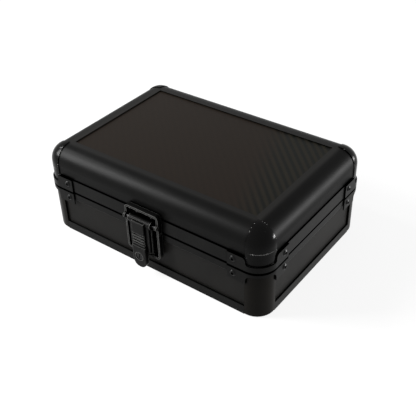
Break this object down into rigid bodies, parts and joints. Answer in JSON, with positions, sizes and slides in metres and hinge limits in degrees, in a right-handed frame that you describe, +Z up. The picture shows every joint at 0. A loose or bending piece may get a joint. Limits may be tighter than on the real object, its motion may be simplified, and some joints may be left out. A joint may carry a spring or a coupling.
{
  "type": "graded card storage case",
  "caption": "Black aluminium-framed hinged case with ball corners, front key hasp and a foam-lined row of upright bays for graded card slabs.",
  "frame": {"origin": "middle of the case's underside, on the surface it stands on, midway between the rims' outer faces", "axes": "+Z up, -Y towards the front with the latch, +X towards the right end seen from the front"},
  "size_m": [0.276, 0.2051, 0.0988],
  "materials": {
    "extrusion": "satin black anodised",
    "side_panel": "satin black laminate",
    "top_panel": "black laminate with a fine diagonal texture",
    "corner_cap": "satin black",
    "corner_joint": "moulded black",
    "bracket": "satin black",
    "rivet": "satin black",
    "hinge": "satin black",
    "steel_pin": "blackened steel",
    "latch": "satin black",
    "lock_core": "blackened steel",
    "foam": "black closed-cell foam"
  },
  "bodies": {
    "base": {"base_back_panel": "side_panel", "base_bottom_panel": "side_panel", "base_bracket_rivets": "rivet", "base_corner_bracket_back_left": "bracket", "base_corner_bracket_back_right": "bracket", "base_corner_bracket_front_left": "bracket", "base_corner_bracket_front_right": "bracket", "base_corner_post_back_left": "extrusion", "base_corner_post_back_right": "extrusion", "base_corner_post_front_left": "extrusion", "base_corner_post_front_right": "extrusion", "base_foot_rail_back": "extrusion", "base_foot_rail_front": "extrusion", "base_foot_rail_left": "extrusion", "base_foot_rail_right": "extrusion", "base_front_panel": "side_panel", "base_left_panel": "side_panel", "base_right_panel": "side_panel", "base_rim_back": "extrusion", "base_rim_front": "extrusion", "base_rim_left": "extrusion", "base_rim_right": "extrusion", "bay_dividers": "foam", "foam_tray": "foam", "hinge_lower_leaf_left": "hinge", "hinge_lower_leaf_right": "hinge", "hinge_lower_rivets": "rivet", "hinge_pins": "steel_pin", "latch_base_plate": "latch", "latch_base_rivets": "rivet"},
    "lid": {"hinge_upper_leaf_left": "hinge", "hinge_upper_leaf_right": "hinge", "hinge_upper_rivets": "rivet", "latch_lid_plate": "latch", "latch_lid_rivets": "rivet", "lid_bracket_rivets": "rivet", "lid_corner_bracket_back_left": "bracket", "lid_corner_bracket_back_right": "bracket", "lid_corner_bracket_front_left": "bracket", "lid_corner_bracket_front_right": "bracket", "lid_corner_cap_back_left": "corner_cap", "lid_corner_cap_back_right": "corner_cap", "lid_corner_cap_front_left": "corner_cap", "lid_corner_cap_front_right": "corner_cap", "lid_corner_joints": "corner_joint", "lid_edge_back": "extrusion", "lid_edge_front": "extrusion", "lid_edge_left": "extrusion", "lid_edge_right": "extrusion", "lid_foam_pad": "foam", "lid_rim_back": "extrusion", "lid_rim_front": "extrusion", "lid_rim_left": "extrusion", "lid_rim_right": "extrusion", "lid_top_panel": "top_panel", "latch_hasp_pin": "steel_pin"},
    "hasp": {"latch_hasp": "latch", "lock_housing": "latch"},
    "lock_core": {"lock_core": "lock_core"}
  },
  "joints": [
    {"name": "lid_hinge", "type": "hinge", "parent": "base", "child": "lid", "pos_m": [0, 0.0961, 0.054], "axis": [-1, 0, 0], "range_deg": [0, 105]},
    {"name": "hasp_swing", "type": "hinge", "parent": "lid", "child": "hasp", "pos_m": [0, -0.0985, 0.063], "axis": [-1, 0, 0], "range_deg": [0, 100]},
    {"name": "lock_turn", "type": "hinge", "parent": "hasp", "child": "lock_core", "pos_m": [0, -0.0985, 0.0244], "axis": [0, -1, 0], "range_deg": [0, 90]}
  ]
}
